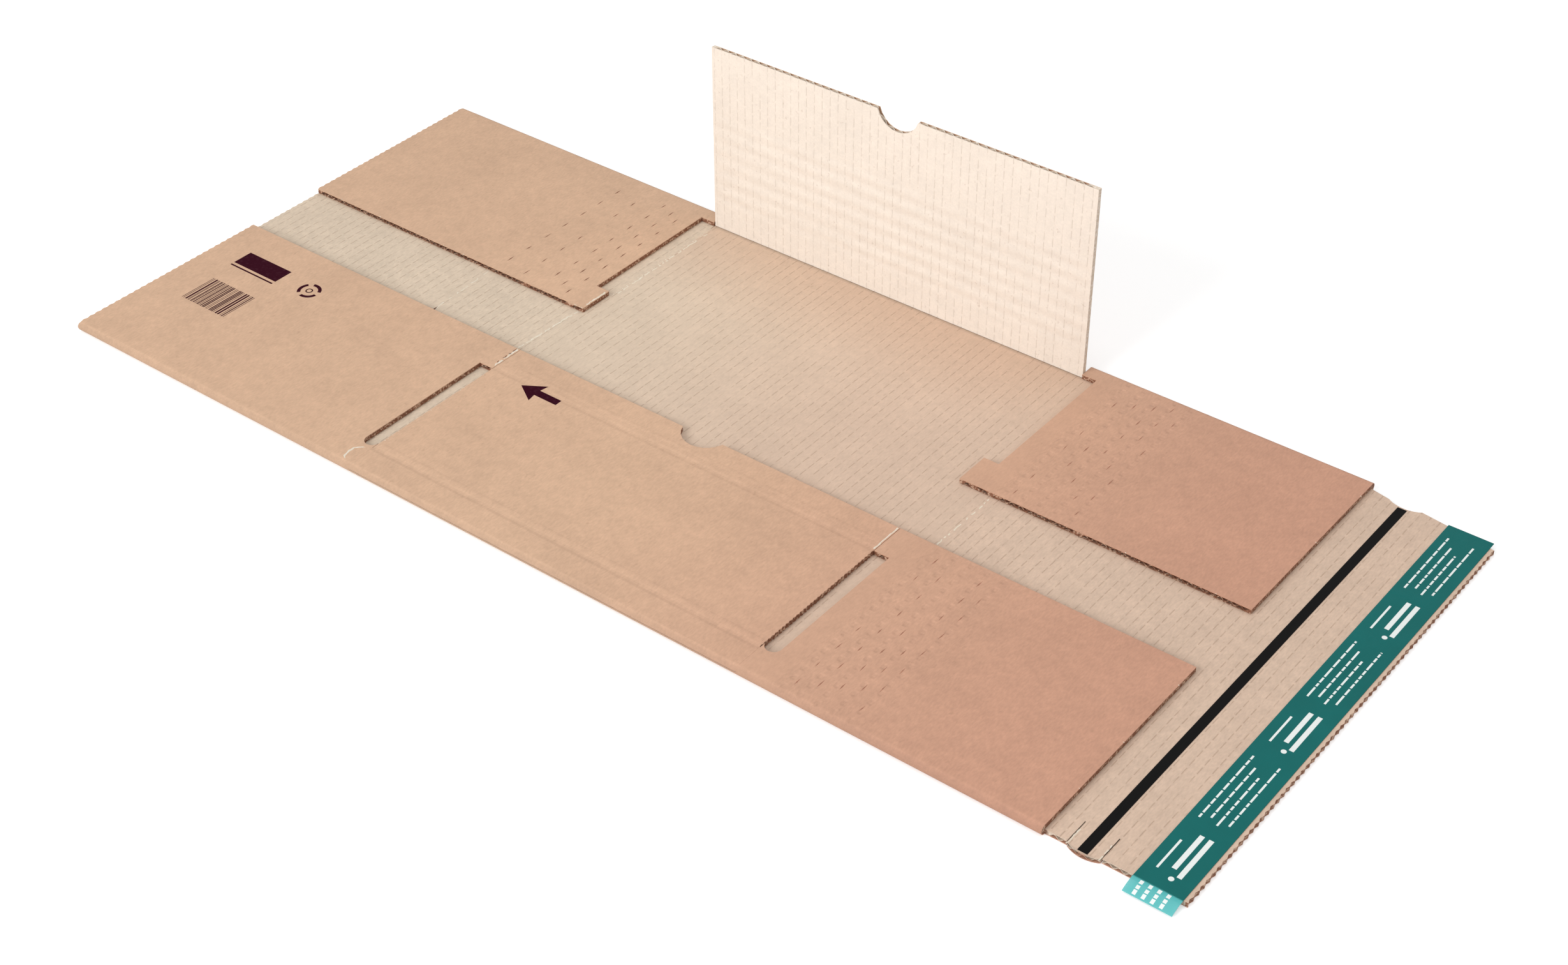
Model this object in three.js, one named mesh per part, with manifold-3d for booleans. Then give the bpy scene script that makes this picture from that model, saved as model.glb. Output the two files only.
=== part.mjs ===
// Wraparound mailer of single-wall corrugated board, lying open with its back flap raised.
//
// One die-cut sheet. Its flutes run front to back. The side flaps are folded over and glued down on
// the wings, the front cross flap lies folded in and the back cross flap stands up. The closing end
// on the right carries a tear tape, an adhesive strip and the film that covers the adhesive.
//
// Frame: millimetres, +X to the closing end, +Y to the back, +Z up. The origin is under the middle of
// the mailer's outline, on the surface that it lies on. Inside the plan functions x runs from the left
// end and y from the front fold, and the finished group is moved to that origin.
import * as THREE from 'three';
import { mergeVertices } from 'three/addons/utils/BufferGeometryUtils.js';
import Module from 'manifold-3d';

const wasm = await Module();
wasm.setup();

// Driving dimensions of the sheet

const boardThickness = 3;
const layerGap = 0.3;
const pieceGap = 0.3;
const foldedDepth = 336;
const wingLength = 231;
const baseWidth = 300;
const crossFlapInset = 23;
const rightPanelLength = 105;
const closingEndLength = 77;
const leftFillHeight = 46;
const rightFillHeight = 55;
const frontFlapLength = 142;
const backFlapLength = 138;
const backHingeSetback = 11;
const backFlapAngle = 90;

// Corrugated section: two liners and, between them, a medium that waves across the sheet

const linerPaper = 0.35;
const mediumPaper = 0.3;
const flutePitch = 5.9;
const crushedFold = 6;

// Slots between the cross flaps and the side flaps

const slotWidth = 10;
const frontSlotStart = 20;
const backSlotStart = 12;
const tabLength = 24;

// Thumb notches in the free edges of the cross flaps

const notchWidth = 29;
const notchDepth = 11;
const notchOffset = 1;

// Closing end: tapered corners, tear tab, tape, adhesive and its film

const endTaperFront = 0.5;
const endTaperBack = 9;
const tearTapeWidth = 5.5;
const tearTapeThickness = 0.2;
const tearTapeFromFlaps = 19;
const tapeSetback = 1;
const tearTabWidth = 20;
const tearTabBulge = 3;
const tearSlitLength = 16;
const tearSlitWidth = 0.6;
const adhesiveWidth = 22;
const adhesiveThickness = 0.15;
const adhesiveSetback = 2;
const linerWidth = 26.5;
const linerThickness = 0.2;
const linerFromEnd = 2.5;
const linerBackOverhang = 5;
const linerTailLength = 10;
const linerTailDrop = 2.2;

// Knife-cut zigzag edges

const toothPitch = 5;
const toothDepth = 0.8;
const fineToothPitch = 3;
const fineToothDepth = 0.5;

// Sizes that follow from the driving dimensions

const foldRadius = (2 * boardThickness + layerGap) / 2;
const secondLayerBottom = boardThickness + layerGap;
const stackHeight = secondLayerBottom + boardThickness;
const leftBaseCrease = wingLength;
const rightBaseCrease = leftBaseCrease + baseWidth;
const leftHeightCrease = leftBaseCrease - leftFillHeight;
const rightHeightCrease = rightBaseCrease + rightFillHeight;
const flappedLength = rightHeightCrease + rightPanelLength;
const totalLength = flappedLength + closingEndLength;
const crossFlapLeft = leftBaseCrease;
const crossFlapRight = rightBaseCrease - crossFlapInset;
const backHinge = foldedDepth - backHingeSetback;
const backFlapEdge = foldedDepth - backFlapLength;
const raisedFlapHeight = backHinge - backFlapEdge;
const notchCentre = (crossFlapLeft + crossFlapRight) / 2 + notchOffset;
const tearTapeCentre = flappedLength + tearTapeFromFlaps + tearTapeWidth / 2;
const linerCentre = totalLength - linerFromEnd - linerWidth / 2;
const halfGap = pieceGap / 2;
const cutMargin = 1;
const edgeWall = 0.5;
const arcSegments = 6;
const flutePoints = 6;
const fluteSpread = 0.9;

// Colours of the sheet and of what is stuck on it

const kraft = new THREE.MeshStandardMaterial({ color: 0xc99f7c, roughness: 0.85, metalness: 0 });
const paleKraft = new THREE.MeshStandardMaterial({ color: 0xe6d2bc, roughness: 0.9, metalness: 0 });
const blackTape = new THREE.MeshStandardMaterial({ color: 0x0c1413, roughness: 0.4, metalness: 0 });
const greenFilm = new THREE.MeshStandardMaterial({ color: 0x11705f, roughness: 0.35, metalness: 0 });
const clearGlue = new THREE.MeshStandardMaterial({ color: 0xd9d2bd, roughness: 0.5, metalness: 0 });

// Solids from closed three.js geometries

function toSolid(geometry) {
  const bare = geometry.index ? geometry.toNonIndexed() : geometry.clone();
  bare.deleteAttribute('normal');
  bare.deleteAttribute('uv');
  const merged = mergeVertices(bare, 1e-4);
  const vertProperties = new Float32Array(merged.attributes.position.array);
  const triVerts = new Uint32Array(merged.index.array);
  return new wasm.Manifold(new wasm.Mesh({ numProp: 3, vertProperties, triVerts }));
}

function toMesh(name, solid, material) {
  const cut = solid.getMesh();
  const geometry = new THREE.BufferGeometry();
  geometry.setAttribute('position', new THREE.BufferAttribute(cut.vertProperties, 3));
  geometry.setIndex(new THREE.BufferAttribute(cut.triVerts, 1));
  geometry.computeVertexNormals();
  const mesh = new THREE.Mesh(geometry, material);
  mesh.name = name;
  return mesh;
}

// A plan outline, in x and y, made thick from one height to another.
function plate(outline, bottom, top) {
  const geometry = new THREE.ExtrudeGeometry(outline, {
    depth: top - bottom,
    bevelEnabled: false,
    curveSegments: arcSegments,
  });
  geometry.translate(0, 0, bottom);
  return toSolid(geometry);
}

// Several outlines in x and z, run along y from front to back, as one set of separate bars.
function runAlongY(sections, front, back) {
  const geometry = new THREE.ExtrudeGeometry(sections, { depth: back - front, bevelEnabled: false });
  geometry.rotateX(Math.PI / 2);
  geometry.translate(0, back, 0);
  return toSolid(geometry);
}

// A section across the fold lines, in y and z, run along x.
function runAlongX(section, left, right) {
  const geometry = new THREE.ExtrudeGeometry(section, {
    depth: right - left,
    bevelEnabled: false,
    curveSegments: arcSegments,
  });
  const axes = new THREE.Matrix4().makeBasis(
    new THREE.Vector3(0, 1, 0),
    new THREE.Vector3(0, 0, 1),
    new THREE.Vector3(1, 0, 0),
  );
  geometry.applyMatrix4(axes);
  geometry.translate(left, 0, 0);
  return toSolid(geometry);
}

function rectangle(left, front, right, back) {
  const shape = new THREE.Shape();
  shape.moveTo(left, front);
  shape.lineTo(right, front);
  shape.lineTo(right, back);
  shape.lineTo(left, back);
  return shape;
}

function block(left, front, bottom, right, back, top) {
  return plate(rectangle(left, front, right, back), bottom, top);
}

// Hollows of the corrugated section

// Outline of the hollow under one crest of the medium, or with side -1 above one trough. The medium is
// a cosine wave, and its own paper is taken off at right angles to the slope.
function fluteHollow(centre, middle, side) {
  const height = (boardThickness - 2 * linerPaper - mediumPaper) / 2;
  const steepness = (height * 2 * Math.PI) / flutePitch;
  const shape = new THREE.Shape();
  for (let i = 0; i < flutePoints; i += 1) {
    const angle = Math.PI * fluteSpread * ((2 * i) / (flutePoints - 1) - 1);
    const slope = steepness * Math.sin(angle);
    const paper = (mediumPaper / 2) * Math.sqrt(1 + slope * slope);
    const rise = i % (flutePoints - 1) === 0
      ? linerPaper - boardThickness / 2
      : height * Math.cos(angle) - paper;
    const x = centre + (flutePitch * angle) / (2 * Math.PI);
    const z = middle + side * rise;
    if (i === 0) shape.moveTo(x, z);
    else shape.lineTo(x, z);
  }
  return shape;
}

// All hollows that lie whole between left and right in a layer that starts at height bottom. The waves
// are counted from the left end of the sheet, so that they run on from one piece to the next.
function flutes(left, right, front, back, bottom) {
  const reach = (flutePitch * fluteSpread) / 2;
  const middle = bottom + boardThickness / 2;
  const hollows = [];
  const first = Math.ceil((left + edgeWall + reach) / (flutePitch / 2));
  const last = Math.floor((right - edgeWall - reach) / (flutePitch / 2));
  for (let i = first; i <= last; i += 1) {
    const side = i % 2 === 0 ? 1 : -1;
    hollows.push(fluteHollow((i * flutePitch) / 2, middle, side));
  }
  return hollows.length > 0 ? runAlongY(hollows, front, back) : null;
}

function cutFlutes(solid, left, right, front, back, bottom) {
  const hollows = flutes(left, right, front, back, bottom);
  return hollows ? solid.subtract(hollows) : solid;
}

// Opens the flutes of both side flaps at their free edges, as far as the crushed folds.
function cutSideFlapFlutes(solid, left, right) {
  const closed = foldRadius + crushedFold;
  const fluted = cutFlutes(solid, left, right, closed, frontFlapLength + cutMargin, secondLayerBottom);
  return cutFlutes(fluted, left, right, backFlapEdge - cutMargin, foldedDepth - closed, secondLayerBottom);
}

// The same for the tabs, whose flutes run through from the free edge to the slot.
function cutTabFlutes(solid, left) {
  const frontTab = frontFlapLength - tabLength - cutMargin;
  const backTab = backFlapEdge + tabLength + cutMargin;
  const right = left + slotWidth;
  const fluted = cutFlutes(solid, left, right, frontTab, frontFlapLength + cutMargin, secondLayerBottom);
  return cutFlutes(fluted, left, right, backFlapEdge - cutMargin, backTab, secondLayerBottom);
}

// The folded sheet

// Section of a wing: the sheet on the floor, turned over at both edges into the two side flaps.
function wingSection() {
  const y0 = foldRadius;
  const y1 = foldedDepth - foldRadius;
  const z = foldRadius;
  const shape = new THREE.Shape();
  shape.moveTo(y0, 0);
  shape.lineTo(y1, 0);
  shape.absarc(y1, z, foldRadius, -Math.PI / 2, Math.PI / 2, false);
  shape.lineTo(backFlapEdge, stackHeight);
  shape.lineTo(backFlapEdge, secondLayerBottom);
  shape.lineTo(y1, secondLayerBottom);
  shape.absarc(y1, z, layerGap / 2, Math.PI / 2, -Math.PI / 2, true);
  shape.lineTo(y0, boardThickness);
  shape.absarc(y0, z, layerGap / 2, -Math.PI / 2, Math.PI / 2, true);
  shape.lineTo(frontFlapLength, secondLayerBottom);
  shape.lineTo(frontFlapLength, stackHeight);
  shape.lineTo(y0, stackHeight);
  shape.absarc(y0, z, foldRadius, Math.PI / 2, Math.PI * 1.5, false);
  return shape;
}

// Section of the floor between the cross flaps: its ends are rounded as the lower half of each fold.
function floorSection() {
  const shape = new THREE.Shape();
  shape.moveTo(foldRadius, 0);
  shape.lineTo(backHinge - foldRadius, 0);
  shape.absarc(backHinge - foldRadius, foldRadius, foldRadius, -Math.PI / 2, -foldCut(), false);
  shape.absarc(foldRadius, foldRadius, foldRadius, Math.PI + foldCut(), Math.PI * 1.5, false);
  return shape;
}

// Angle at which the upper face of the sheet meets the outside of a fold.
function foldCut() {
  return Math.asin((foldRadius - boardThickness) / foldRadius);
}

// Section of a cross flap folded in over the floor from a fold at y = 0, with the upper half of the
// fold. The flap lies towards +y where inward is 1 and towards -y where it is -1.
function crossFlapSection(length, inward) {
  const foldEnd = inward > 0 ? Math.PI - foldCut() : foldCut();
  const shape = new THREE.Shape();
  shape.moveTo(inward * length, secondLayerBottom);
  shape.lineTo(inward * length, stackHeight);
  shape.lineTo(inward * foldRadius, stackHeight);
  shape.absarc(inward * foldRadius, foldRadius, foldRadius, Math.PI / 2, foldEnd, inward < 0);
  return shape;
}

// Slots in the second layer, from the tab to the stretch left whole at the fold. The front ones end in
// a half circle.
function slotCut(outline) {
  return plate(outline, boardThickness + layerGap / 2, stackHeight + cutMargin);
}

function frontSlot(left) {
  const radius = slotWidth / 2;
  const tab = frontFlapLength - tabLength;
  const shape = new THREE.Shape();
  shape.moveTo(left + slotWidth, tab);
  shape.lineTo(left, tab);
  shape.absarc(left + radius, frontSlotStart + radius, radius, Math.PI, 2 * Math.PI, false);
  return slotCut(shape);
}

function backSlot(left) {
  return slotCut(rectangle(left, backFlapEdge + tabLength, left + slotWidth, foldedDepth - backSlotStart));
}

// Thumb notch: a segment of a circle that meets the free edge over notchWidth and is notchDepth deep.
function notchCut(centre, length, inward) {
  const half = notchWidth / 2;
  const radius = (half * half + notchDepth * notchDepth) / (2 * notchDepth);
  const shape = new THREE.Shape();
  shape.absarc(centre, inward * (length - notchDepth + radius), radius, 0, Math.PI * 2, false);
  const geometry = new THREE.ExtrudeGeometry(shape, {
    depth: stackHeight,
    bevelEnabled: false,
    curveSegments: arcSegments * 2,
  });
  geometry.translate(0, 0, boardThickness + layerGap / 2);
  return toSolid(geometry);
}

// A row of triangular teeth to cut away along a knife-cut edge at x = edge, pointing into the sheet.
function teethCut(edge, inward, front, back, top, pitchWanted, depth) {
  const count = Math.round((back - front) / pitchWanted);
  const pitch = (back - front) / count;
  const outside = edge - inward * cutMargin;
  const shape = new THREE.Shape();
  shape.moveTo(outside, front);
  for (let i = 0; i < count; i += 1) {
    shape.lineTo(edge, front + i * pitch);
    shape.lineTo(edge + inward * depth, front + (i + 0.5) * pitch);
  }
  shape.lineTo(edge, back);
  shape.lineTo(outside, back);
  return plate(shape, -cutMargin, top + cutMargin);
}

function buildWing(left, right) {
  return runAlongX(wingSection(), left, right);
}

function buildLeftPanel() {
  const right = leftHeightCrease - halfGap;
  const fluted = cutSideFlapFlutes(buildWing(0, right), toothDepth, right);
  return fluted.subtract(teethCut(0, 1, 0, foldedDepth, stackHeight, toothPitch, toothDepth));
}

function buildLeftWall() {
  const left = leftHeightCrease + halfGap;
  const slotLeft = leftBaseCrease - slotWidth;
  const wing = buildWing(left, leftBaseCrease - halfGap);
  const fluted = cutTabFlutes(cutSideFlapFlutes(wing, left, slotLeft), slotLeft);
  return fluted.subtract(frontSlot(slotLeft)).subtract(backSlot(slotLeft));
}

// The floor and the two narrow ends of the right side flaps that lie on it, inside the right crease.
function buildBase() {
  const left = crossFlapRight + halfGap;
  const right = rightBaseCrease - halfGap;
  const floor = runAlongX(floorSection(), leftBaseCrease + halfGap, left);
  const ledge = buildWing(left, right);
  const fluted = cutTabFlutes(cutSideFlapFlutes(ledge, crossFlapRight + slotWidth, right), crossFlapRight);
  return floor.add(fluted.subtract(frontSlot(crossFlapRight)).subtract(backSlot(crossFlapRight)));
}

function buildRightWall() {
  const left = rightBaseCrease + halfGap;
  const right = rightHeightCrease - halfGap;
  return cutSideFlapFlutes(buildWing(left, right), left, right);
}

// Cut edges of the closing end, which narrows towards its right end.
function closingFront(x) {
  return foldRadius + (endTaperFront * (x - flappedLength)) / closingEndLength;
}

function closingBack(x) {
  return foldedDepth - foldRadius - (endTaperBack * (x - flappedLength)) / closingEndLength;
}

// Plan of the closing end. The tear tab bulges at the front, and the same arc is cut into the back.
function closingEndOutline() {
  const half = tearTabWidth / 2;
  const radius = (half * half + tearTabBulge * tearTabBulge) / (2 * tearTabBulge);
  const sweep = Math.asin(half / radius);
  const arcRise = radius - tearTabBulge;
  const joint = flappedLength - cutMargin;
  const arcStart = -Math.PI / 2 - sweep;
  const arcEnd = -Math.PI / 2 + sweep;
  const shape = new THREE.Shape();
  shape.moveTo(joint, foldRadius);
  shape.lineTo(tearTapeCentre - half, closingFront(tearTapeCentre));
  shape.absarc(tearTapeCentre, closingFront(tearTapeCentre) + arcRise, radius, arcStart, arcEnd, false);
  shape.lineTo(totalLength, closingFront(totalLength));
  shape.lineTo(totalLength, closingBack(totalLength));
  shape.absarc(tearTapeCentre, closingBack(tearTapeCentre) + arcRise, radius, arcEnd, arcStart, true);
  shape.lineTo(joint, foldedDepth - foldRadius);
  return shape;
}

function tearSlit(x) {
  const front = closingFront(x);
  const half = tearSlitWidth / 2;
  return block(x - half, front - tearTabBulge, -cutMargin,
    x + half, front + tearSlitLength, boardThickness + cutMargin);
}

function buildRightPanel() {
  const left = rightHeightCrease + halfGap;
  const wing = cutSideFlapFlutes(buildWing(left, flappedLength), left, flappedLength);
  const end = plate(closingEndOutline(), 0, boardThickness);
  const fluted = cutFlutes(end, flappedLength, totalLength - toothDepth, -cutMargin, foldedDepth, 0);
  const teeth = teethCut(totalLength, -1, closingFront(totalLength), closingBack(totalLength),
    boardThickness, toothPitch, toothDepth);
  const slitOffset = tearTabWidth / 2 - tearSlitWidth;
  return wing
    .add(fluted)
    .subtract(teeth)
    .subtract(tearSlit(tearTapeCentre - slitOffset))
    .subtract(tearSlit(tearTapeCentre + slitOffset));
}

// Both cross flaps are shaped lying folded in, with the fold at y = 0.
function buildCrossFlap(length, inward) {
  const left = crossFlapLeft + halfGap;
  const right = crossFlapRight - halfGap;
  const closed = inward * (foldRadius + crushedFold);
  const open = inward * (length + cutMargin);
  const flap = runAlongX(crossFlapSection(length, inward), left, right);
  const fluted = cutFlutes(flap, left, right - fineToothDepth,
    Math.min(closed, open), Math.max(closed, open), secondLayerBottom);
  return fluted.subtract(notchCut(notchCentre, length, inward));
}

// The right edge of the front flap keeps the zigzag of the knife along the slot.
function buildFrontFlap() {
  const flap = buildCrossFlap(frontFlapLength, 1);
  const slotEnd = frontFlapLength - tabLength;
  const teeth = teethCut(crossFlapRight - halfGap, -1, frontSlotStart, slotEnd,
    stackHeight, fineToothPitch, fineToothDepth);
  return flap.subtract(teeth);
}

// What is stuck on the closing end

function buildTearTape() {
  const half = tearTapeWidth / 2;
  const front = closingFront(tearTapeCentre) - tearTabBulge + tapeSetback;
  const back = closingBack(tearTapeCentre) - tearTabBulge - tapeSetback;
  return block(tearTapeCentre - half, front, boardThickness,
    tearTapeCentre + half, back, boardThickness + tearTapeThickness);
}

function buildAdhesive() {
  const half = adhesiveWidth / 2;
  const front = closingFront(totalLength) + adhesiveSetback;
  const back = closingBack(totalLength) - adhesiveSetback;
  return block(linerCentre - half, front, boardThickness,
    linerCentre + half, back, boardThickness + adhesiveThickness);
}

// Film over the adhesive: flat on it, past the back edge, and drooping as a free tail at the front.
function buildReleaseLiner() {
  const low = boardThickness + adhesiveThickness;
  const front = closingFront(totalLength);
  const back = closingBack(totalLength) + linerBackOverhang;
  const steps = 6;
  const shape = new THREE.Shape();
  shape.moveTo(back, low);
  shape.lineTo(back, low + linerThickness);
  for (let i = 0; i <= steps; i += 1) {
    const share = i / steps;
    shape.lineTo(front - share * linerTailLength, low + linerThickness - linerTailDrop * share * share);
  }
  for (let i = steps; i >= 0; i -= 1) {
    const share = i / steps;
    shape.lineTo(front - share * linerTailLength, low - linerTailDrop * share * share);
  }
  return runAlongX(shape, linerCentre - linerWidth / 2, linerCentre + linerWidth / 2);
}

// The finished mailer

const linerTailEnd = closingFront(totalLength) - linerTailLength;
const group = new THREE.Group();
group.position.set(-totalLength / 2, -(linerTailEnd + foldedDepth) / 2, 0);
group.add(toMesh('base', buildBase(), paleKraft));
group.add(toMesh('left_wall', buildLeftWall(), kraft));
group.add(toMesh('left_panel', buildLeftPanel(), kraft));
group.add(toMesh('right_wall', buildRightWall(), kraft));
group.add(toMesh('right_panel', buildRightPanel(), kraft));
group.add(toMesh('front_flap', buildFrontFlap(), kraft));
group.add(toMesh('tear_tape', buildTearTape(), blackTape));
group.add(toMesh('adhesive_strip', buildAdhesive(), clearGlue));
group.add(toMesh('release_liner', buildReleaseLiner(), greenFilm));

// The back flap turns up and out about the middle of its fold.
const backFold = new THREE.Group();
backFold.position.set(0, backHinge, foldRadius);
backFold.rotation.x = -THREE.MathUtils.degToRad(backFlapAngle);
const backFlap = toMesh('back_flap', buildCrossFlap(raisedFlapHeight, -1), paleKraft);
backFlap.position.z = -foldRadius;
backFold.add(backFlap);
group.add(backFold);

export default group;
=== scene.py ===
import bmesh
import bpy
import math
import random
from mathutils import Matrix, Vector


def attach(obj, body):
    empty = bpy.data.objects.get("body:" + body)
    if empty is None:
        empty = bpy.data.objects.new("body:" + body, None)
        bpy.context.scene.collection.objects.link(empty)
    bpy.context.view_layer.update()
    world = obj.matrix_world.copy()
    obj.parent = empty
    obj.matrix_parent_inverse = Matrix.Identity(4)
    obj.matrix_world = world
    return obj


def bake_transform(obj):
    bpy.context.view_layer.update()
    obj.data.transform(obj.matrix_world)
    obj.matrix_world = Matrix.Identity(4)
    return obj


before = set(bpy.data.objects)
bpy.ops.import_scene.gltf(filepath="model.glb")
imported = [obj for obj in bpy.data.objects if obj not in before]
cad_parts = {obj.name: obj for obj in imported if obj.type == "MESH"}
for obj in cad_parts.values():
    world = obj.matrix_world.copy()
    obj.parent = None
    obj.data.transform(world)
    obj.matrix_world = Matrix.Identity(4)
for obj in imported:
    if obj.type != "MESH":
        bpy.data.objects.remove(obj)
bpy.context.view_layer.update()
rng = random.Random(4)

# Lengths below are millimetres on the sheet's plan, as in the CAD source: x from the left end, y from
# the front fold and z up. at() turns them into metres in the row frame.
PLAN_X, PLAN_Y = 384.0, 164.825
THICK = 3.0
GAP = 0.3
STACK = 6.3
FOLD = 3.15
DEPTH = 336.0
BACK_FOLD = DEPTH - FOLD
LEFT_BASE, RIGHT_BASE = 231.0, 531.0
LEFT_HEIGHT, RIGHT_HEIGHT = 185.0, 586.0
FLAP_LEFT, FLAP_RIGHT = 231.0, 508.0
FLAPPED, TOTAL = 691.0, 768.0
FRONT_EDGE, BACK_EDGE = 142.0, 198.0
BACK_HINGE = 325.0
PITCH = 5.9
ADHESIVE, FILM = 0.15, 0.2
FILM_TOP = THICK + ADHESIVE + FILM

# Prints and other thin shapes stand this far proud of a face, and reach this far into it.
LIFT, SINK = 0.03, 0.02

# The raised flap's washboard ridges: their pitch, the z of one crest, how far they rise from the
# board, the z over which they fade in and out, their two ends, and the length of the fade there
RIDGE_PITCH, RIDGE_CREST, RIDGE_RISE = 10.2, 30.0, 0.22
RIDGE_START, RIDGE_END = (14.0, 30.0), (76.0, 92.0)
RIDGE_LEFT, RIDGE_RIGHT, RIDGE_FADE = 235.0, 504.0, 6.0


def at(x, y, z):
    return ((x - PLAN_X) / 1000, (y - PLAN_Y) / 1000, z / 1000)


# Node materials


class Nodes:
    """A material's node tree, with short ways to add nodes. x, y and z are plan millimetres."""

    def __init__(self, name):
        self.mat = bpy.data.materials.new(name)
        self.mat.use_nodes = True
        self.tree = self.mat.node_tree
        self.tree.nodes.clear()
        out = self.tree.nodes.new("ShaderNodeOutputMaterial")
        self.shader = self.tree.nodes.new("ShaderNodeBsdfPrincipled")
        self.tree.links.new(self.shader.outputs[0], out.inputs[0])
        self.coord = self.tree.nodes.new("ShaderNodeTexCoord")
        self.mm = self.vector("MULTIPLY_ADD", self.coord.outputs["Object"], (1000, 1000, 1000),
                              (PLAN_X, PLAN_Y, 0))
        self.x, self.y, self.z = self.split(self.mm)

    def put(self, socket, value):
        if isinstance(value, bpy.types.NodeSocket):
            self.tree.links.new(value, socket)
        else:
            socket.default_value = value

    def split(self, vector):
        node = self.tree.nodes.new("ShaderNodeSeparateXYZ")
        self.put(node.inputs[0], vector)
        return node.outputs

    def math(self, op, *values):
        node = self.tree.nodes.new("ShaderNodeMath")
        node.operation = op
        for socket, value in zip(node.inputs, values):
            self.put(socket, value)
        return node.outputs[0]

    def vector(self, op, *values):
        node = self.tree.nodes.new("ShaderNodeVectorMath")
        node.operation = op
        for socket, value in zip(node.inputs, values):
            self.put(socket, value)
        return node.outputs[0]

    def product(self, first, *others):
        for other in others:
            first = self.math("MULTIPLY", first, other)
        return first

    def scaled(self, value, factor, base):
        return self.math("MULTIPLY_ADD", value, factor, base)

    def distance(self, value, place):
        return self.math("ABSOLUTE", self.math("SUBTRACT", value, place))

    def off_middle(self, value, period):
        """0 in the middle of each period and 0.5 at its ends."""
        return self.distance(self.math("FRACT", self.math("DIVIDE", value, period)), 0.5)

    def noise(self, size, detail=2.0, rough=0.5, stretch=(1, 1, 1), shift=0.0):
        node = self.tree.nodes.new("ShaderNodeTexNoise")
        scale = tuple(s / size for s in stretch)
        place = self.vector("MULTIPLY_ADD", self.mm, scale, (shift, shift, shift))
        self.put(node.inputs["Vector"], place)
        node.inputs["Scale"].default_value = 1.0
        node.inputs["Detail"].default_value = detail
        node.inputs["Roughness"].default_value = rough
        return node.outputs["Fac"]

    def between(self, value, low, high):
        """0 below low, 1 above high and smooth between them."""
        node = self.tree.nodes.new("ShaderNodeMapRange")
        node.interpolation_type = "SMOOTHSTEP"
        self.put(node.inputs["Value"], value)
        node.inputs["From Min"].default_value = low
        node.inputs["From Max"].default_value = high
        return node.outputs[0]

    def until(self, value, low, high):
        """1 below low, 0 above high and smooth between them."""
        return self.math("SUBTRACT", 1.0, self.between(value, low, high))

    def mix(self, share, a, b, kind="MIX"):
        node = self.tree.nodes.new("ShaderNodeMix")
        node.data_type = "RGBA"
        node.blend_type = kind
        self.put(node.inputs[0], share)
        for socket, value in ((node.inputs[6], a), (node.inputs[7], b)):
            self.put(socket, value if isinstance(value, bpy.types.NodeSocket) else (*value, 1.0))
        return node.outputs[2]

    def bump(self, height, depth):
        """Bumps as deep as depth, in millimetres, for a height of 1."""
        node = self.tree.nodes.new("ShaderNodeBump")
        node.inputs["Strength"].default_value = 1.0
        node.inputs["Distance"].default_value = depth / 1000
        self.put(node.inputs["Height"], height)
        self.put(self.shader.inputs["Normal"], node.outputs[0])

    def finish(self, colour, roughness, specular=0.3):
        self.put(self.shader.inputs["Base Color"], colour)
        self.put(self.shader.inputs["Roughness"], roughness)
        self.shader.inputs["Specular IOR Level"].default_value = specular
        return self.mat


OUTER_LEFT, OUTER_RIGHT = (0.600, 0.392, 0.262), (0.535, 0.288, 0.196)
INNER_LEFT, INNER_RIGHT = (0.640, 0.520, 0.400), (0.612, 0.452, 0.345)
# The floor's darker, redder colour at the raised flap's foot is a painted shadow.
FLOOR_FOOT_SHADOW = (0.625, 0.430, 0.310)
# The raised flap's inner liner is the floor's paper painted paler: a painted sheen, the reflection of
# the front light and the pale ground.
UPRIGHT_WITH_SHEEN, UPRIGHT_EDGE = (0.840, 0.755, 0.665), (0.72, 0.60, 0.48)
# The cut edges' dark red-brown is painted shade, of the flute hollows and the slots.
CUT_EDGE_SHADE, FRAYED, CRUSHED = (0.215, 0.092, 0.052), (0.560, 0.380, 0.270), (0.690, 0.590, 0.480)
FLUTE_SHADE, FLECK = (0.32, 0.20, 0.13), (0.33, 0.19, 0.12)

# How strong the clouds, the flute lines' painted shade, the fibres and the flutes' waves are in each
# kind of board
LOOKS = {
    "wing": (0.20, 0.42, 0.06, 0.014),
    "front": (0.20, 0.42, 0.06, 0.014),
    "skin": (0.20, 0.42, 0.06, 0.014),
    "floor": (0.14, 0.42, 0.06, 0.014),
    "upright": (0.10, 0.22, 0.03, 0.035),
}

# Long grooves that the machine pressed in the front flap, with y and depth
GROOVES = ((20.0, -0.28), (119.0, -0.26))

# The grid of small dents that the creasing tools pressed in the right side flaps
DENT_ACROSS, DENT_DOWN, DENT_DEPTH = 10.4, 8.4, -0.30


def paper_layer(n, kind):
    """How far a point lies from the middle of the folded stack, in millimetres: the inner liners are
    near 0.15 and the outer ones near 3.15, also round the folds. The second value is how far it lies
    past the start of the nearest fold."""
    if kind == "upright":
        return n.distance(n.y, BACK_HINGE), 0.0
    if kind == "skin":
        return FOLD, 0.0
    back = BACK_FOLD
    if kind == "floor":
        on_floor = n.math("LESS_THAN", n.x, FLAP_RIGHT)
        back = n.scaled(on_floor, BACK_HINGE - DEPTH, back)
    past = n.math("MAXIMUM", n.math("SUBTRACT", FOLD, n.y), n.math("SUBTRACT", n.y, back))
    past = n.math("MAXIMUM", past, 0.0)
    height = n.math("SUBTRACT", n.z, FOLD)
    return n.math("SQRT", n.math("ADD", n.product(past, past), n.product(height, height))), past


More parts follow.
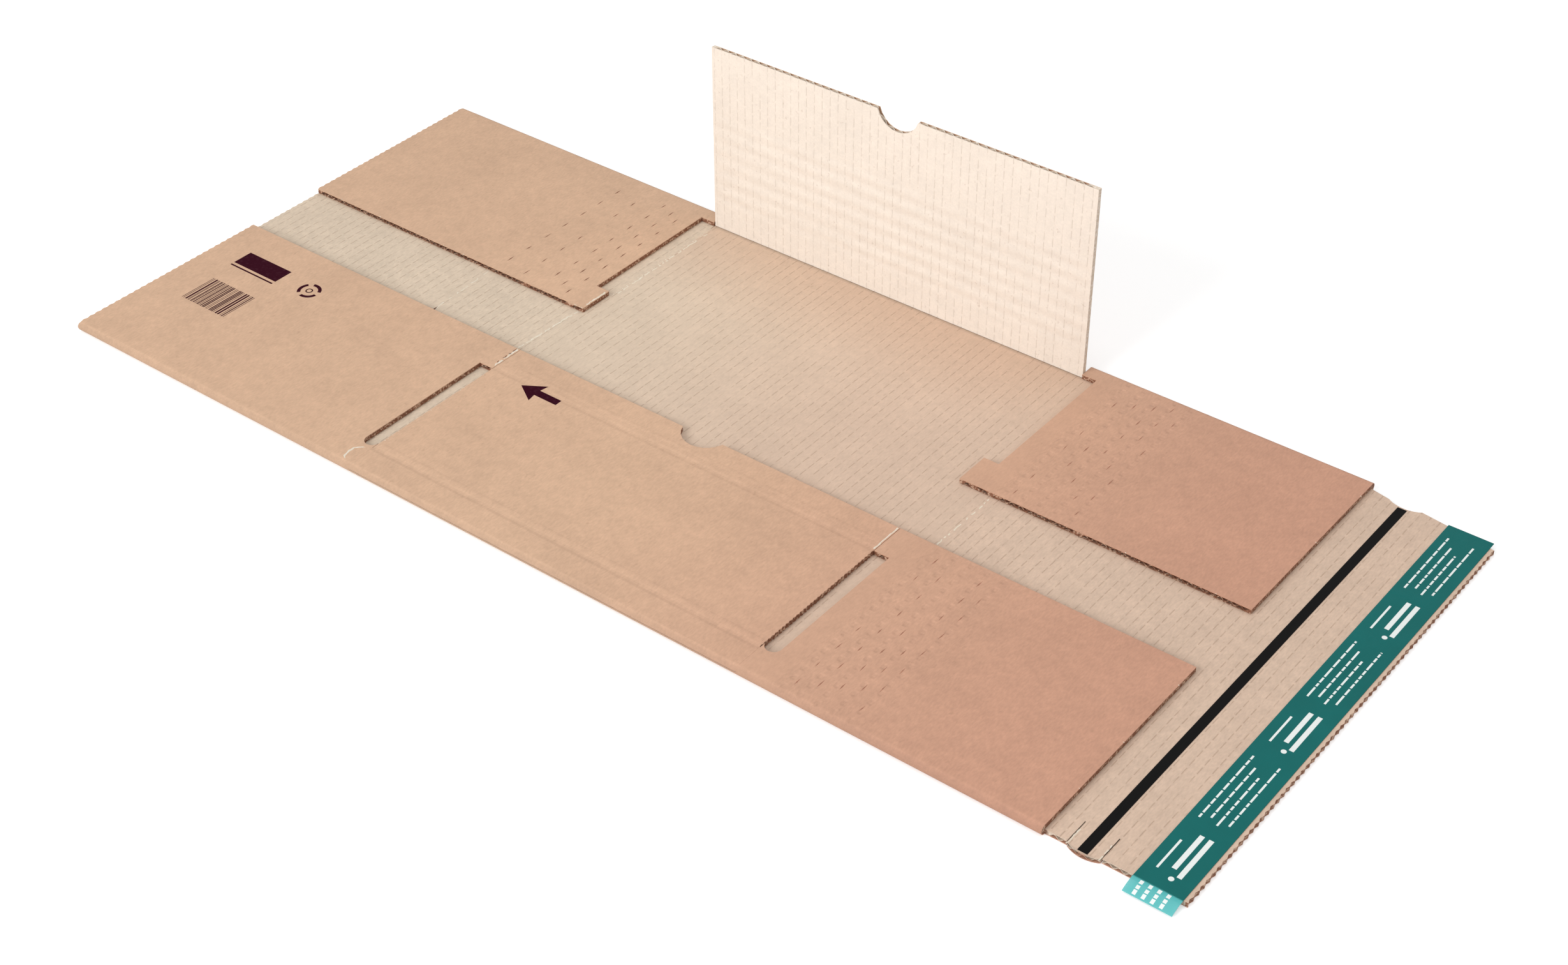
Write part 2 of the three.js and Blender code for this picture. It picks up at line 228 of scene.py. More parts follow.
def liner_masks(n, kind):
    """1 on the outer liner, 1 on the inner liner, and how far past the start of a fold a point lies."""
    layer, past = paper_layer(n, kind)
    outer = n.between(layer, 2.7, 2.8)
    if kind == "skin":
        return outer, 0.0, past
    # Inner liners face up or down next to the middle of the stack; the raised flap's faces the front.
    upright = kind == "upright"
    facing = n.split(n.coord.outputs["Normal"])[1 if upright else 2]
    level = n.math("GREATER_THAN", n.math("ABSOLUTE", facing), 0.7)
    middle = layer if upright else n.distance(n.z, FOLD)
    inner = n.product(n.until(middle, 0.42, 0.52), level)
    return n.product(outer, level) if upright else outer, inner, past


def flute_lines(n, along):
    """Flutes that show through the liners as a washboard: a thin line for each, broken along its
    length, painted dark as shade and sunk a little.
    """
    thin = n.until(n.off_middle(n.x, PITCH), 0.02, 0.065)
    row = n.math("FLOOR", n.math("DIVIDE", n.x, PITCH))
    dash = n.math("FRACT", n.scaled(row, 0.37, n.math("DIVIDE", along, 7.5)))
    patches = n.between(n.noise(16.0, 2.0, 0.7, shift=5.5), 0.28, 0.55)
    broken = n.product(n.until(dash, 0.70, 0.82), patches)
    return n.product(thin, broken)


def pressed(n, kind, height, is_outer):
    """The height of the surface with what the machines pressed in it."""
    if kind == "upright":
        # These deepen the ridges of the mesh.
        turn = n.product(n.math("SUBTRACT", n.z, RIDGE_CREST), 2 * math.pi / RIDGE_PITCH)
        waver = n.scaled(n.noise(45.0, 1.0, 0.5, (1, 1, 2)), 0.9, 0.1)
        span = n.product(n.between(n.z, *RIDGE_START), n.until(n.z, *RIDGE_END))
        height = n.scaled(n.product(n.math("COSINE", turn), span, waver), 0.17, height)
    if kind == "front":
        for y, depth in GROOVES:
            height = n.scaled(n.until(n.distance(n.y, y), 0.4, 3.0), depth, height)
    if kind == "wing":
        across, down = n.off_middle(n.x, DENT_ACROSS), n.off_middle(n.y, DENT_DOWN)
        dent = n.product(n.until(across, 0.04, 0.20), n.until(down, 0.10, 0.34))
        field = n.product(n.between(n.x, 516.0, 522.0), n.until(n.x, 582.0, 590.0))
        height = n.scaled(n.product(dent, field, is_outer), DENT_DEPTH, height)
    return height


def board(name, kind="wing"):
    n = Nodes(name)
    upright = kind == "upright"
    clouds, line_strength, fibres, waves = LOOKS[kind]
    is_outer, is_inner, past = liner_masks(n, kind)

    # Paper: redder towards the right end, with clouds and fibres, and darker round the folds, which is
    # painted shade
    outer = n.mix(n.between(n.x, 330.0, 690.0), OUTER_LEFT, OUTER_RIGHT)
    # The raised flap's inner liner takes the paler colour with its painted sheen.
    inner = UPRIGHT_WITH_SHEEN if upright else n.mix(n.between(n.x, 200.0, 460.0), INNER_LEFT, INNER_RIGHT)
    if kind == "floor":
        # painted shadow on the floor, growing towards the raised flap's foot
        inner = n.mix(n.product(n.between(n.y, 235.0, 323.0), 0.55), inner, FLOOR_FOOT_SHADOW)
    cloud = n.noise(38.0, 3.0, 0.6)
    mottle = n.noise(6.5, 3.0, 0.6, shift=7.3)
    fibre = n.noise(1.1, 2.0, 0.6, (1.0, 0.35, 1.0), 3.1)
    fleck = n.between(n.noise(2.2, 2.0, 0.5, (1.0, 0.5, 1.0), 11.7), 0.66, 0.78)
    tone = n.product(
        n.scaled(cloud, clouds, 1 - clouds / 2),
        n.scaled(mottle, clouds * 1.3, 1 - clouds * 0.65),
        n.scaled(fibre, clouds * 1.6, 1 - clouds * 0.8),
        # painted shade round the folds
        n.scaled(n.between(past, 0.3, 2.6), -0.20, 1.0),
    )

    # Cut edges: torn paper, pale where the liners fray and elsewhere dark, which is painted shade of
    # the flute hollows and the slots
    frayed = n.between(n.noise(1.5, 2.0, 0.6, shift=1.9), 0.50, 0.62)
    edge = n.mix(frayed, UPRIGHT_EDGE if upright else CUT_EDGE_SHADE, UPRIGHT_WITH_SHEEN if upright else FRAYED)
    if kind == "wing":
        # The closing end's front and back edges are crushed and pale.
        closing = n.product(n.between(n.x, FLAPPED, FLAPPED + 3), n.math("LESS_THAN", n.x, TOTAL - 1.5))
        edge = n.mix(n.product(closing, 0.72), edge, CRUSHED)

    flutes = n.product(flute_lines(n, n.z if upright else n.y), is_inner)
    tones = n.tree.nodes.new("ShaderNodeCombineColor")
    for socket in tones.inputs:
        n.put(socket, tone)
    colour = n.mix(is_inner, n.mix(is_outer, edge, outer), inner)
    colour = n.mix(1.0, colour, tones.outputs[0], "MULTIPLY")
    # painted shade of the washboard along the flutes
    colour = n.mix(n.product(flutes, line_strength), colour, FLUTE_SHADE)
    colour = n.mix(n.product(fleck, 0.22), colour, FLECK)

    height = n.scaled(fibre, fibres, n.product(mottle, 0.08))
    height = n.scaled(n.math("COSINE", n.product(n.x, 2 * math.pi / PITCH)), waves, height)
    height = n.scaled(flutes, -0.10, height)
    n.bump(pressed(n, kind, height, is_outer), 1.0)
    return n.finish(colour, n.scaled(mottle, 0.2, 0.66))


def ink(name, colour, wear=0.35):
    """Ink, or paper or painted shade as plain as ink, that is paler where it is worn."""
    n = Nodes(name)
    worn = n.between(n.noise(2.4, 3.0, 0.65, shift=2.9), 0.50, 0.72)
    tone = n.mix(n.product(worn, wear), colour, tuple(min(1.0, c * 2.2 + 0.03) for c in colour))
    n.bump(n.noise(1.4, 2.0, 0.6), 0.06)
    return n.finish(tone, n.scaled(worn, 0.2, 0.7), 0.04)


def satin_tape():
    n = Nodes("black_satin_tape")
    grain = n.noise(0.7, 2.0, 0.6, (1.0, 0.08, 1.0))
    cloud = n.noise(24.0, 2.0, 0.5)
    tone = n.mix(grain, (0.002, 0.002, 0.002), (0.006, 0.006, 0.006))
    tone = n.mix(n.product(cloud, 0.3), tone, (0.012, 0.010, 0.009))
    n.bump(grain, 0.05)
    return n.finish(tone, n.scaled(cloud, 0.2, 0.45), 0.04)


def film():
    """The film is dark on the adhesive, and pale and a little clear where its tail hangs free."""
    n = Nodes("green_release_film")
    cloud = n.noise(30.0, 3.0, 0.6)
    fine = n.noise(4.0, 2.0, 0.6, (1.0, 0.3, 1.0), 4.0)
    tail = n.until(n.y, 2.4, 3.6)
    tone = n.mix(cloud, (0.001, 0.100, 0.092), (0.002, 0.136, 0.128))
    tone = n.mix(tail, tone, (0.110, 0.540, 0.540))
    n.bump(n.scaled(fine, 0.3, cloud), 0.5)
    n.put(n.shader.inputs["Alpha"], n.scaled(tail, -0.28, 1.0))
    return n.finish(tone, n.scaled(fine, 0.15, 0.30), 0.12)


def glue():
    n = Nodes("adhesive")
    cloud = n.noise(5.0, 3.0, 0.6)
    tone = n.mix(cloud, (0.62, 0.56, 0.42), (0.74, 0.68, 0.54))
    n.bump(cloud, 0.2)
    return n.finish(tone, n.scaled(cloud, 0.3, 0.25), 0.5)


WING = board("kraft_board")
FLOOR = board("kraft_floor", "floor")
RAISED = board("kraft_upright_flap", "upright")
FRONT = board("kraft_front_flap", "front")
SKIN = board("kraft_fold_skin", "skin")
INK = ink("plum_ink", (0.028, 0.001, 0.007))
WHITE_INK = ink("white_ink", (0.78, 0.82, 0.80), 0.1)
# Slits, nicks and tears are drawn as dark flat shapes: painted shade inside them.
SLIT_SHADE = ink("score_slit_shade", (0.180, 0.075, 0.045), 0.2)
# The dents' dark colour is painted shade inside them.
DENT_SHADE = ink("pressed_dent_shade", (0.330, 0.160, 0.105), 0.3)
TORN = ink("torn_paper", (0.720, 0.640, 0.520), 0.3)

for node, material in {
    "base": FLOOR,
    "left_wall": WING,
    "left_panel": WING,
    "right_wall": WING,
    "right_panel": WING,
    "front_flap": FRONT,
    "back_flap": RAISED,
    "tear_tape": satin_tape(),
    "adhesive_strip": glue(),
    "release_liner": film(),
}.items():
    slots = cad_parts[node].data.materials
    slots.clear()
    slots.append(material)


# Meshes


def mesh_object(name, points, faces, material):
    """A closed mesh through plan places, its faces turned outward."""
    mesh = bpy.data.meshes.new(name)
    mesh.from_pydata([at(*place) for place in points], [], faces)
    shell = bmesh.new()
    shell.from_mesh(mesh)
    bmesh.ops.recalc_face_normals(shell, faces=shell.faces)
    shell.to_mesh(mesh)
    shell.free()
    mesh.materials.append(material)
    made = bpy.data.objects.new(name, mesh)
    bpy.context.scene.collection.objects.link(made)
    return made


def solid(name, shells, material):
    """A mesh of closed shells. Each is a list of sections, rings of equally many places, and one whose
    last section is its first closes to a loop."""
    points, faces = [], []
    for sections in shells:
        loop = sections[0] == sections[-1]
        if loop:
            sections = sections[:-1]
        count = len(sections[0])
        starts = range(len(points), len(points) + count * len(sections), count)
        points += [place for section in sections for place in section]
        joined = list(zip(starts, starts[1:]))
        if loop:
            joined.append((starts[-1], starts[0]))
        else:
            faces += [[start + k for k in range(count)] for start in (starts[0], starts[-1])]
        for here, there in joined:
            for k in range(count):
                after = (k + 1) % count
                faces.append([here + k, here + after, there + after, there + k])
    return mesh_object(name, points, faces, material)


def piece(name, shells, material, body):
    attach(solid(name, shells, material), body)


def flat(outline, z):
    """The sections of a thin flat shape on a face at z."""
    return [[(x, y, z + rise) for x, y in outline] for rise in (LIFT, -SINK)]


def ribbon(sides, z):
    """The sections of a thin flat strip on a face at z, from pairs of places on its two sides."""
    return [[(*a, z + LIFT), (*b, z + LIFT), (*b, z - SINK), (*a, z - SINK)] for a, b in sides]


def bar(x0, y0, x1, y1):
    return [(x0, y0), (x1, y0), (x1, y1), (x0, y1)]


# Prints on the board


def arc(cx, cy, inner, outer, first, last, steps):
    """Sides of a strip round a centre, from first to last in degrees."""
    sides = []
    for i in range(steps + 1):
        a = math.radians(first + (last - first) * i / steps)
        sides.append([(cx + r * math.cos(a), cy + r * math.sin(a)) for r in (inner, outer)])
    if last - first == 360:
        sides[-1] = sides[0]
    return sides


ARROW = [(256.0, 115.5), (269.5, 107.0), (268.5, 112.9), (285.0, 112.9),
         (285.0, 118.1), (268.5, 118.1), (269.5, 124.0)]
piece("print_arrow", [flat(ARROW, STACK)], INK, "front_flap")

BLOCK = (bar(24.0, 104.2, 61.0, 118.0), bar(24.0, 101.0, 61.0, 102.2))
piece("print_block", [flat(shape, STACK) for shape in BLOCK], INK, "left_panel")

bars, x = [], 28.0
while x < 64.5:
    width = rng.choice((0.4, 0.4, 0.8, 1.2))
    bars.append(flat(bar(x, 58.0, min(x + width, 65.0), 84.0), STACK))
    x += width + rng.choice((0.4, 0.8, 0.8, 1.2))
piece("print_bars", bars, INK, "left_panel")

RING_X, RING_Y = 85.0, 110.0
rings = [arc(RING_X, RING_Y, 5.4, 7.6, 20 + turn, 110 + turn, 9) for turn in (0, 120, 240)]
rings.append(arc(RING_X, RING_Y, 1.6, 2.4, 0, 360, 14))
piece("print_ring", [ribbon(sides, STACK) for sides in rings], INK, "left_panel")


# Printed marks on the film: plain bars, dots and dashes where the real one is lettered

MARK_COLUMNS = (743.6, 748.4, 753.2, 758.0)
MARK_SPACING = 106.0


def film_marks():
    shapes = []
    for low in (14.0 + MARK_SPACING * k for k in range(3)):
        # three plain bars side by side and a dot at their end
        shapes += [bar(750.6, low + 4, 753.2, low + 30), bar(755.6, low, 758.2, low + 30),
                   bar(744.6, low, 745.8, low + 22)]
        turns = [t * math.pi / 6 for t in range(12)]
        shapes.append([(754.2 + 1.5 * math.cos(t), low - 2.4 + 1.5 * math.sin(t)) for t in turns])
        # four columns of short dashes
        for column, x0 in enumerate(MARK_COLUMNS):
            y = low + 40.0 + 3.0 * (column % 2)
            stop = low + 92.0 - 6.0 * (column % 3)
            while y < stop:
                length = rng.uniform(2.6, 8.4)
                shapes.append(bar(x0, y, x0 + 1.1, min(y + length, stop)))
                y += length + 1.0
    return shapes


def tail_height(y):
    """The top of the film's tail, which droops over the front edge."""
    share = (FOLD + 0.5 - y) / 10.0
    return FILM_TOP - 2.2 * share * share


piece("film_marks", [flat(shape, FILM_TOP) for shape in film_marks()], WHITE_INK, "right_panel")
piece("film_tail_marks", [
    [[(x, y, tail_height(y) + rise) for x, y in bar(x0, y1, x0 + 1.9, y0)] for rise in (LIFT, -SINK)]
    for x0 in MARK_COLUMNS for y0, y1 in ((2.6, 0.4), (-0.6, -2.6), (-3.2, -5.6))
], WHITE_INK, "right_panel")


# Marks that the score knives left in the side flaps beside the creases, drawn as dark slits and dents
# of painted shade

SCORE_STEP = 17.0


def score_dashes(name, columns, body, front, back, strong, material=SLIT_SHADE):
    """Slanted dashes in columns. front and back are the shares kept on the front and back side flap."""
    shapes = []
    for k, x in enumerate(columns):
        for low, high, keep in ((8.0, FRONT_EDGE - 6, front), (BACK_EDGE + 6, DEPTH - 8, back)):
            y = low + (k * 5.3) % SCORE_STEP
            while y < high - 5:
                if rng.random() < keep:
                    length = rng.uniform(4.8, 7.0)
                    w = rng.uniform(0.28, 0.44) * strong
                    slant = rng.uniform(-0.25, 0.25)
                    shapes.append([(x, y), (x + w + slant, y + length * 0.4),
                                   (x + slant * 1.4, y + length), (x - w + slant, y + length * 0.5)])
                y += SCORE_STEP
    piece(name, [flat(shape, STACK) for shape in shapes], material, body)


score_dashes("dashes_left_wall", (211.0, 203.0, 193.0), "left_wall", 0.0, 1.0, 1.0)
score_dashes("dashes_left_panel", (176.0, 158.0), "left_panel", 0.0, 0.9, 0.9)
score_dashes("dashes_right_wall", (539.0, 549.0, 559.0, 568.0, 576.0), "right_wall",
             0.7, 0.8, 0.9, DENT_SHADE)


# Creases: the liners run on over the thin gaps between the panels

# Across a crease, places beside its middle and how far each stands proud
CREASE = ((-0.8, 0.012), (-0.4, 0.05), (0.0, 0.025), (0.4, 0.05), (0.8, 0.012))


def fold_arc(centre, first, last, steps, sign=1):
    """Places round a fold, each with y, z and the way that it faces. Angles are in degrees."""
    places = []
    for i in range(steps + 1):
        a = math.radians(first + (last - first) * i / steps)
        places.append((centre + sign * FOLD * math.cos(a), FOLD + FOLD * math.sin(a),
                       sign * math.cos(a), math.sin(a)))
    return places


def outer_path(front):
    """Places on the outer face of a side flap, from its free edge round the fold."""
    edge, sign, fold = (FRONT_EDGE, 1, FOLD) if front else (BACK_EDGE, -1, BACK_FOLD)
    path = [(edge - sign * 0.1, STACK, 0.0, 1.0), ((edge + fold) / 2, STACK, 0.0, 1.0)]
    return path + fold_arc(fold, 90, 250, 8, sign)


def inner_path(front, back):
    return [(front + (back - front) * i / 6, THICK, 0.0, 1.0) for i in range(7)]


def crease(name, x, path):
    sections = []
    for y, z, ny, nz in path:
        sections.append([(x + dx, y + ny * rise, z + nz * rise) for dx, rise in CREASE]
                        + [(x + dx, y - ny * SINK, z - nz * SINK) for dx, rise in reversed(CREASE)])
    made = solid(name, [sections], WING)
    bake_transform(made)


def under_liner(name, x, front_from, back_to, back):
    """The outer liner in the thin gap under a crease: it lies hidden in the gap at rest."""
    half = GAP / 2 - 0.01
    across = [x - half + 2 * half * i / 8 for i in range(9)]
    sections = []
    for y, z, ny, nz in fold_arc(FOLD, front_from, 270, 4) + fold_arc(back, 270, back_to, 4):
        outside, inside = ([(u, y - ny * inset, z - nz * inset) for u in across]
                           for inset in (0.01, 0.30))
        sections.append(outside + inside[::-1])
    made = solid(name, [sections], WING)
    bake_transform(made)


def back_fold_skin():
    """The outer liner round the outside of the raised flap's fold."""
    outline = ((321.85, 0.02), (323.6, 0.16), (325.2, 0.62), (326.6, 1.55), (327.6, 2.9), (328.1, 4.4),
               (328.16, 6.2))
    left, right = FLAP_LEFT + 0.2, FLAP_RIGHT - 0.2
    sections = [[(left, y, z), (right, y, z), (right, y - 0.2, z + 0.25), (left, y - 0.2, z + 0.25)]
                for y, z in outline]
    made = solid("fold_skin_back", [sections], SKIN)
    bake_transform(made)


for label, x, left, right in (("left_height", LEFT_HEIGHT, "left_panel", "left_wall"),
                              ("right_base", RIGHT_BASE, "base", "right_wall"),
                              ("right_height", RIGHT_HEIGHT, "right_wall", "right_panel")):
    crease(f"crease_{label}_front", x, outer_path(True))
    crease(f"crease_{label}_back", x, outer_path(False))
    crease(f"crease_{label}_inner", x, inner_path(FRONT_EDGE + 0.3, BACK_EDGE - 0.3))
for label, x, front_from, back_to, back, left, right in (
        ("left_height", LEFT_HEIGHT, 252, 288, BACK_FOLD, "left_panel", "left_wall"),
        ("left_base", LEFT_BASE, 190, 300, BACK_HINGE - FOLD, "left_wall", "base"),
        ("right_base", RIGHT_BASE, 252, 288, BACK_FOLD, "base", "right_wall"),
        ("right_height", RIGHT_HEIGHT, 252, 288, BACK_FOLD, "right_wall", "right_panel")):
    under_liner(f"liner_{label}_under", x, front_from, back_to, back)
back_fold_skin()
crease("crease_left_base_inner", LEFT_BASE, inner_path(FOLD + 1, BACK_HINGE - FOLD - 1))


# Cracks, torn nicks and frayed paper

CRACK_STEP = 1.7


def jagged(points, width, jitter, keep=1.0):
    """Strips of uneven width along a crack's points of x and y. keep is the share of it that shows."""
    line = []
    for (x0, y0), (x1, y1) in zip(points, points[1:]):
        parts = max(1, round(math.hypot(x1 - x0, y1 - y0) / CRACK_STEP))
        for i in range(parts):
            line.append((x0 + (x1 - x0) * i / parts + rng.uniform(-jitter, jitter),
                         y0 + (y1 - y0) * i / parts))
    line.append(points[-1])
    halves = [rng.uniform(0.25, 0.5) * width for _ in line]
    sides = [[(x - half, y), (x + half, y)] for (x, y), half in zip(line, halves)]
    strips = [sides[:1]]
    for side in sides[1:]:
        if rng.random() < keep:
            strips[-1].append(side)
        else:
            strips.append([side])
    return [strip for strip in strips if len(strip) > 1]


def flakes(name, places, size, body, flatten=1.0):
    """Small crumpled bits of paper that stick out of a cut edge."""
    points, faces = [], []
    for x, y, z in places:
        start = len(points)
        turn = rng.uniform(0, 2 * math.pi)
        for k in range(4):
            a = turn + k * math.pi / 2
            r = rng.uniform(0.4, 1.0) * size
            points.append((x + r * math.cos(a), y + r * math.sin(a) * 0.7,
                           z + rng.uniform(-0.1, 0.25) * size * flatten))
        points.append((x, y, z + rng.uniform(0.2, 0.5) * size * flatten))
        points.append((x, y, z - 0.3 * size))
        for k in range(4):
            j = (k + 1) % 4
            faces += [(start + k, start + j, start + 4), (start + j, start + k, start + 5)]
    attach(mesh_object(name, points, faces, TORN), body)


def cracks(*rows):
    """Each row has a name, a crack's points, width, jitter and share, its z, material and body."""
    for name, points, width, jitter, keep, z, material, body in rows:
        piece(name, [ribbon(sides, z) for sides in jagged(points, width, jitter, keep)], material, body)


# The inner strip shows between the free edges of the side flaps.
STRIP_BACK, STRIP_FRONT = BACK_EDGE - 0.5, FRONT_EDGE + 0.6
# The front nicks run from the end of a slot to the free edge of the side flaps.
NICK_START, NICK_END = 119.0, FRONT_EDGE - 0.6

cracks(
    ("crack_slot_end", [(226.8, 17.2), (222.4, 13.1), (224.1, 4.6), (225.6, 3.3)], 1.5, 0.5, 1.0,
     STACK, TORN, "left_wall"),
    ("crack_panel_strip", [(153.2, STRIP_BACK), (156.8, STRIP_FRONT)], 0.9, 0.5, 0.6,
     THICK, TORN, "left_panel"),
    ("crack_wall_strip", [(227.2, STRIP_BACK), (225.0, STRIP_FRONT)], 1.3, 0.6, 0.85,
     THICK, TORN, "left_wall"),
    ("crack_base_strip", [(529.6, STRIP_BACK), (529.2, STRIP_FRONT)], 0.9, 0.4, 0.5,
     THICK, TORN, "base"),
    ("crack_floor_edge", [(233.4, 222.0), (233.0, 316.0)], 1.2, 0.4, 0.6,
     THICK, TORN, "base"),
)
# A dark tear in the panel strip: painted shade.
TEAR = [(155.4, 142.2), (158.2, 142.2), (156.9, 145.0), (155.8, 149.4)]
piece("tear_panel_strip", [flat(TEAR, THICK)], SLIT_SHADE, "left_panel")
cracks(
    ("nicks_front_left", [(230.0, NICK_START), (229.4, NICK_END)], 1.4, 0.5, 0.75,
     STACK, TORN, "left_wall"),
    # a dark strip of painted shade inside the nicks
    ("nicks_front_left_dark", [(228.9, NICK_START), (228.6, NICK_END)], 0.8, 0.4, 0.4,
     STACK, SLIT_SHADE, "left_wall"),
    ("nicks_front_right", [(506.9, NICK_START), (506.8, NICK_END)], 1.1, 0.3, 0.7,
     STACK, TORN, "front_flap"),
    ("nicks_back_left", [(229.9, 199.0), (229.9, 221.4)], 1.4, 0.5, 0.8,
     STACK, TORN, "left_wall"),
)

# Flakes on a side flap's cut edges lie just under its face.
UNDER_FACE = STACK - 0.1
FLAKE_BACK = BACK_EDGE + 0.2
END_EDGE, END_HEIGHT = FLAPPED - 0.3, STACK - 0.2

back_left = [(x + rng.uniform(-3, 3), FLAKE_BACK, UNDER_FACE)
             for x in (25, 60, 116, 128, 163, 171, 205)]
# The last three of these places are left clean.
flakes("frayed_back_left", back_left[:4], 0.9, "left_panel")
flakes("frayed_tab", [(rng.uniform(222, 230.5), FLAKE_BACK, UNDER_FACE) for _ in range(7)]
       + [(230.25, rng.uniform(199, 222), UNDER_FACE) for _ in range(9)], 0.75, "left_wall")
flakes("frayed_slot_front", [(231.7, 22 + 3.4 * k + rng.uniform(-1, 1), STACK - 0.15)
                             for k in range(28)], 0.65, "front_flap")
flakes("frayed_slot_floor", [(232.0, 224 + 4.0 * k + rng.uniform(-1.5, 1.5), THICK + 0.03)
                             for k in range(24)], 0.8, "base", 0.4)
flakes("frayed_right", [(x, FLAKE_BACK, UNDER_FACE) for x in (615, 670)]
       + [(END_EDGE, y, END_HEIGHT) for y in (208, 319, 268, 125, 73, 33)], 0.9, "right_panel")
cracks(
    ("crack_tab_left", [(703.8, 1.5), (704.2, 13.4)], 0.9, 0.3, 0.85, THICK, TORN, "right_panel"),
    ("crack_tab_right", [(721.5, 1.5), (721.3, 13.4)], 0.9, 0.3, 0.85, THICK, TORN, "right_panel"),
)


# The raised flap's pressed ridges, the front flap's pressed lines and fillers beside its fold


def smooth(value, low, high):
    share = min(1.0, max(0.0, (value - low) / (high - low)))
    return share * share * (3 - 2 * share)


def ridge_height(x, z):
    span = (smooth(z, *RIDGE_START) * (1 - smooth(z, *RIDGE_END))
            * smooth(x, RIDGE_LEFT, RIDGE_LEFT + RIDGE_FADE)
            * (1 - smooth(x, RIDGE_RIGHT - RIDGE_FADE, RIDGE_RIGHT)))
    sway = 0.75 + 0.25 * math.sin(x / 31.0 + z / 23.0)
    wave = 0.5 + 0.5 * math.cos((z - RIDGE_CREST) * 2 * math.pi / RIDGE_PITCH)
    return 0.012 + RIDGE_RISE * span * sway * wave


def pressed_ridges():
    """The inner liner of the raised flap, which stands in low ridges proud of the board's face."""
    columns, rows = 68, 106
    face = BACK_HINGE + GAP / 2
    low, tall = 10.0, 86.0
    sections = []
    for x in (RIDGE_LEFT + (RIDGE_RIGHT - RIDGE_LEFT) * i / columns for i in range(columns + 1)):
        heights = [low + tall * k / rows for k in range(rows + 1)]
        sections.append([(x, face - ridge_height(x, z), z) for z in heights]
                        + [(x, face + 0.05, low + tall), (x, face + 0.05, low)])
    piece("pressed_ridges", [sections], RAISED, "back_flap")


def pressed_line(name, y):
    """A low ridge along the front flap, beside a line that the machine pressed."""
    profile = ((-1.7, 0.012), (-0.9, 0.085), (0.0, 0.13), (0.9, 0.085), (1.7, 0.012))
    sections = [[(x, y + dy, STACK + rise) for dy, rise in profile]
                + [(x, y + dy, STACK - 0.03) for dy, rise in reversed(profile)]
                for x in (FLAP_LEFT + 2, FLAP_RIGHT - 2)]
    piece(name, [sections], FRONT, "front_flap")


def fold_filler(name, x0, x1, body):
    """Fills the thin gap beside the front flap from its slot round the fold."""
    radius, slot = FOLD - 0.03, 19.7
    outline = [(slot, STACK - 0.03), (FOLD, STACK - 0.03)]
    outline += [(FOLD + radius * math.cos(math.radians(a)), FOLD + radius * math.sin(math.radians(a)))
                for a in range(100, 271, 10)]
    outline += [(FOLD, THICK), (slot, THICK)]
    piece(name, [[[(x, y, z) for y, z in outline] for x in (x0, x1)]], WING, body)


pressed_ridges()
pressed_line("pressed_line_fold", 24.6)
pressed_line("pressed_line_edge", 126.4)
fold_filler("filler_fold_left", LEFT_BASE - 0.16, LEFT_BASE + 0.11, "left_wall")
fold_filler("filler_fold_right", FLAP_RIGHT - 0.11, FLAP_RIGHT + 0.16, "base")


# Ground, light and camera


def light(name, place, size, power):
    """A square light that shines at the middle of the object."""
    data = bpy.data.lights.new(name, "AREA")
    data.shape = "SQUARE"
    data.size = size
    data.energy = power
    lamp = bpy.data.objects.new(name, data)
    bpy.context.scene.collection.objects.link(lamp)
    lamp.location = place
    lamp.rotation_euler = (-Vector(place)).to_track_quat("-Z", "Y").to_euler()


def seen_share(tree):
    """1 where a camera, glossy or transmission ray looks, 0 for the light that reaches the object."""
    path = tree.nodes.new("ShaderNodeLightPath")
    total = path.outputs["Is Camera Ray"]
    for kind in ("Is Glossy Ray", "Is Transmission Ray"):
        both = tree.nodes.new("ShaderNodeMath")
        both.operation = "MAXIMUM"
        tree.links.new(total, both.inputs[0])
        tree.links.new(path.outputs[kind], both.inputs[1])
        total = both.outputs[0]
    return total


WHITE = (1.0, 1.0, 1.0, 1.0)
GROUND_GREY = (0.86, 0.86, 0.86, 1.0)
GROUND_GLOW = 0.34
GROUND_HALF = 6
WORLD_LIGHT, WORLD_SEEN = 0.36, 1.0

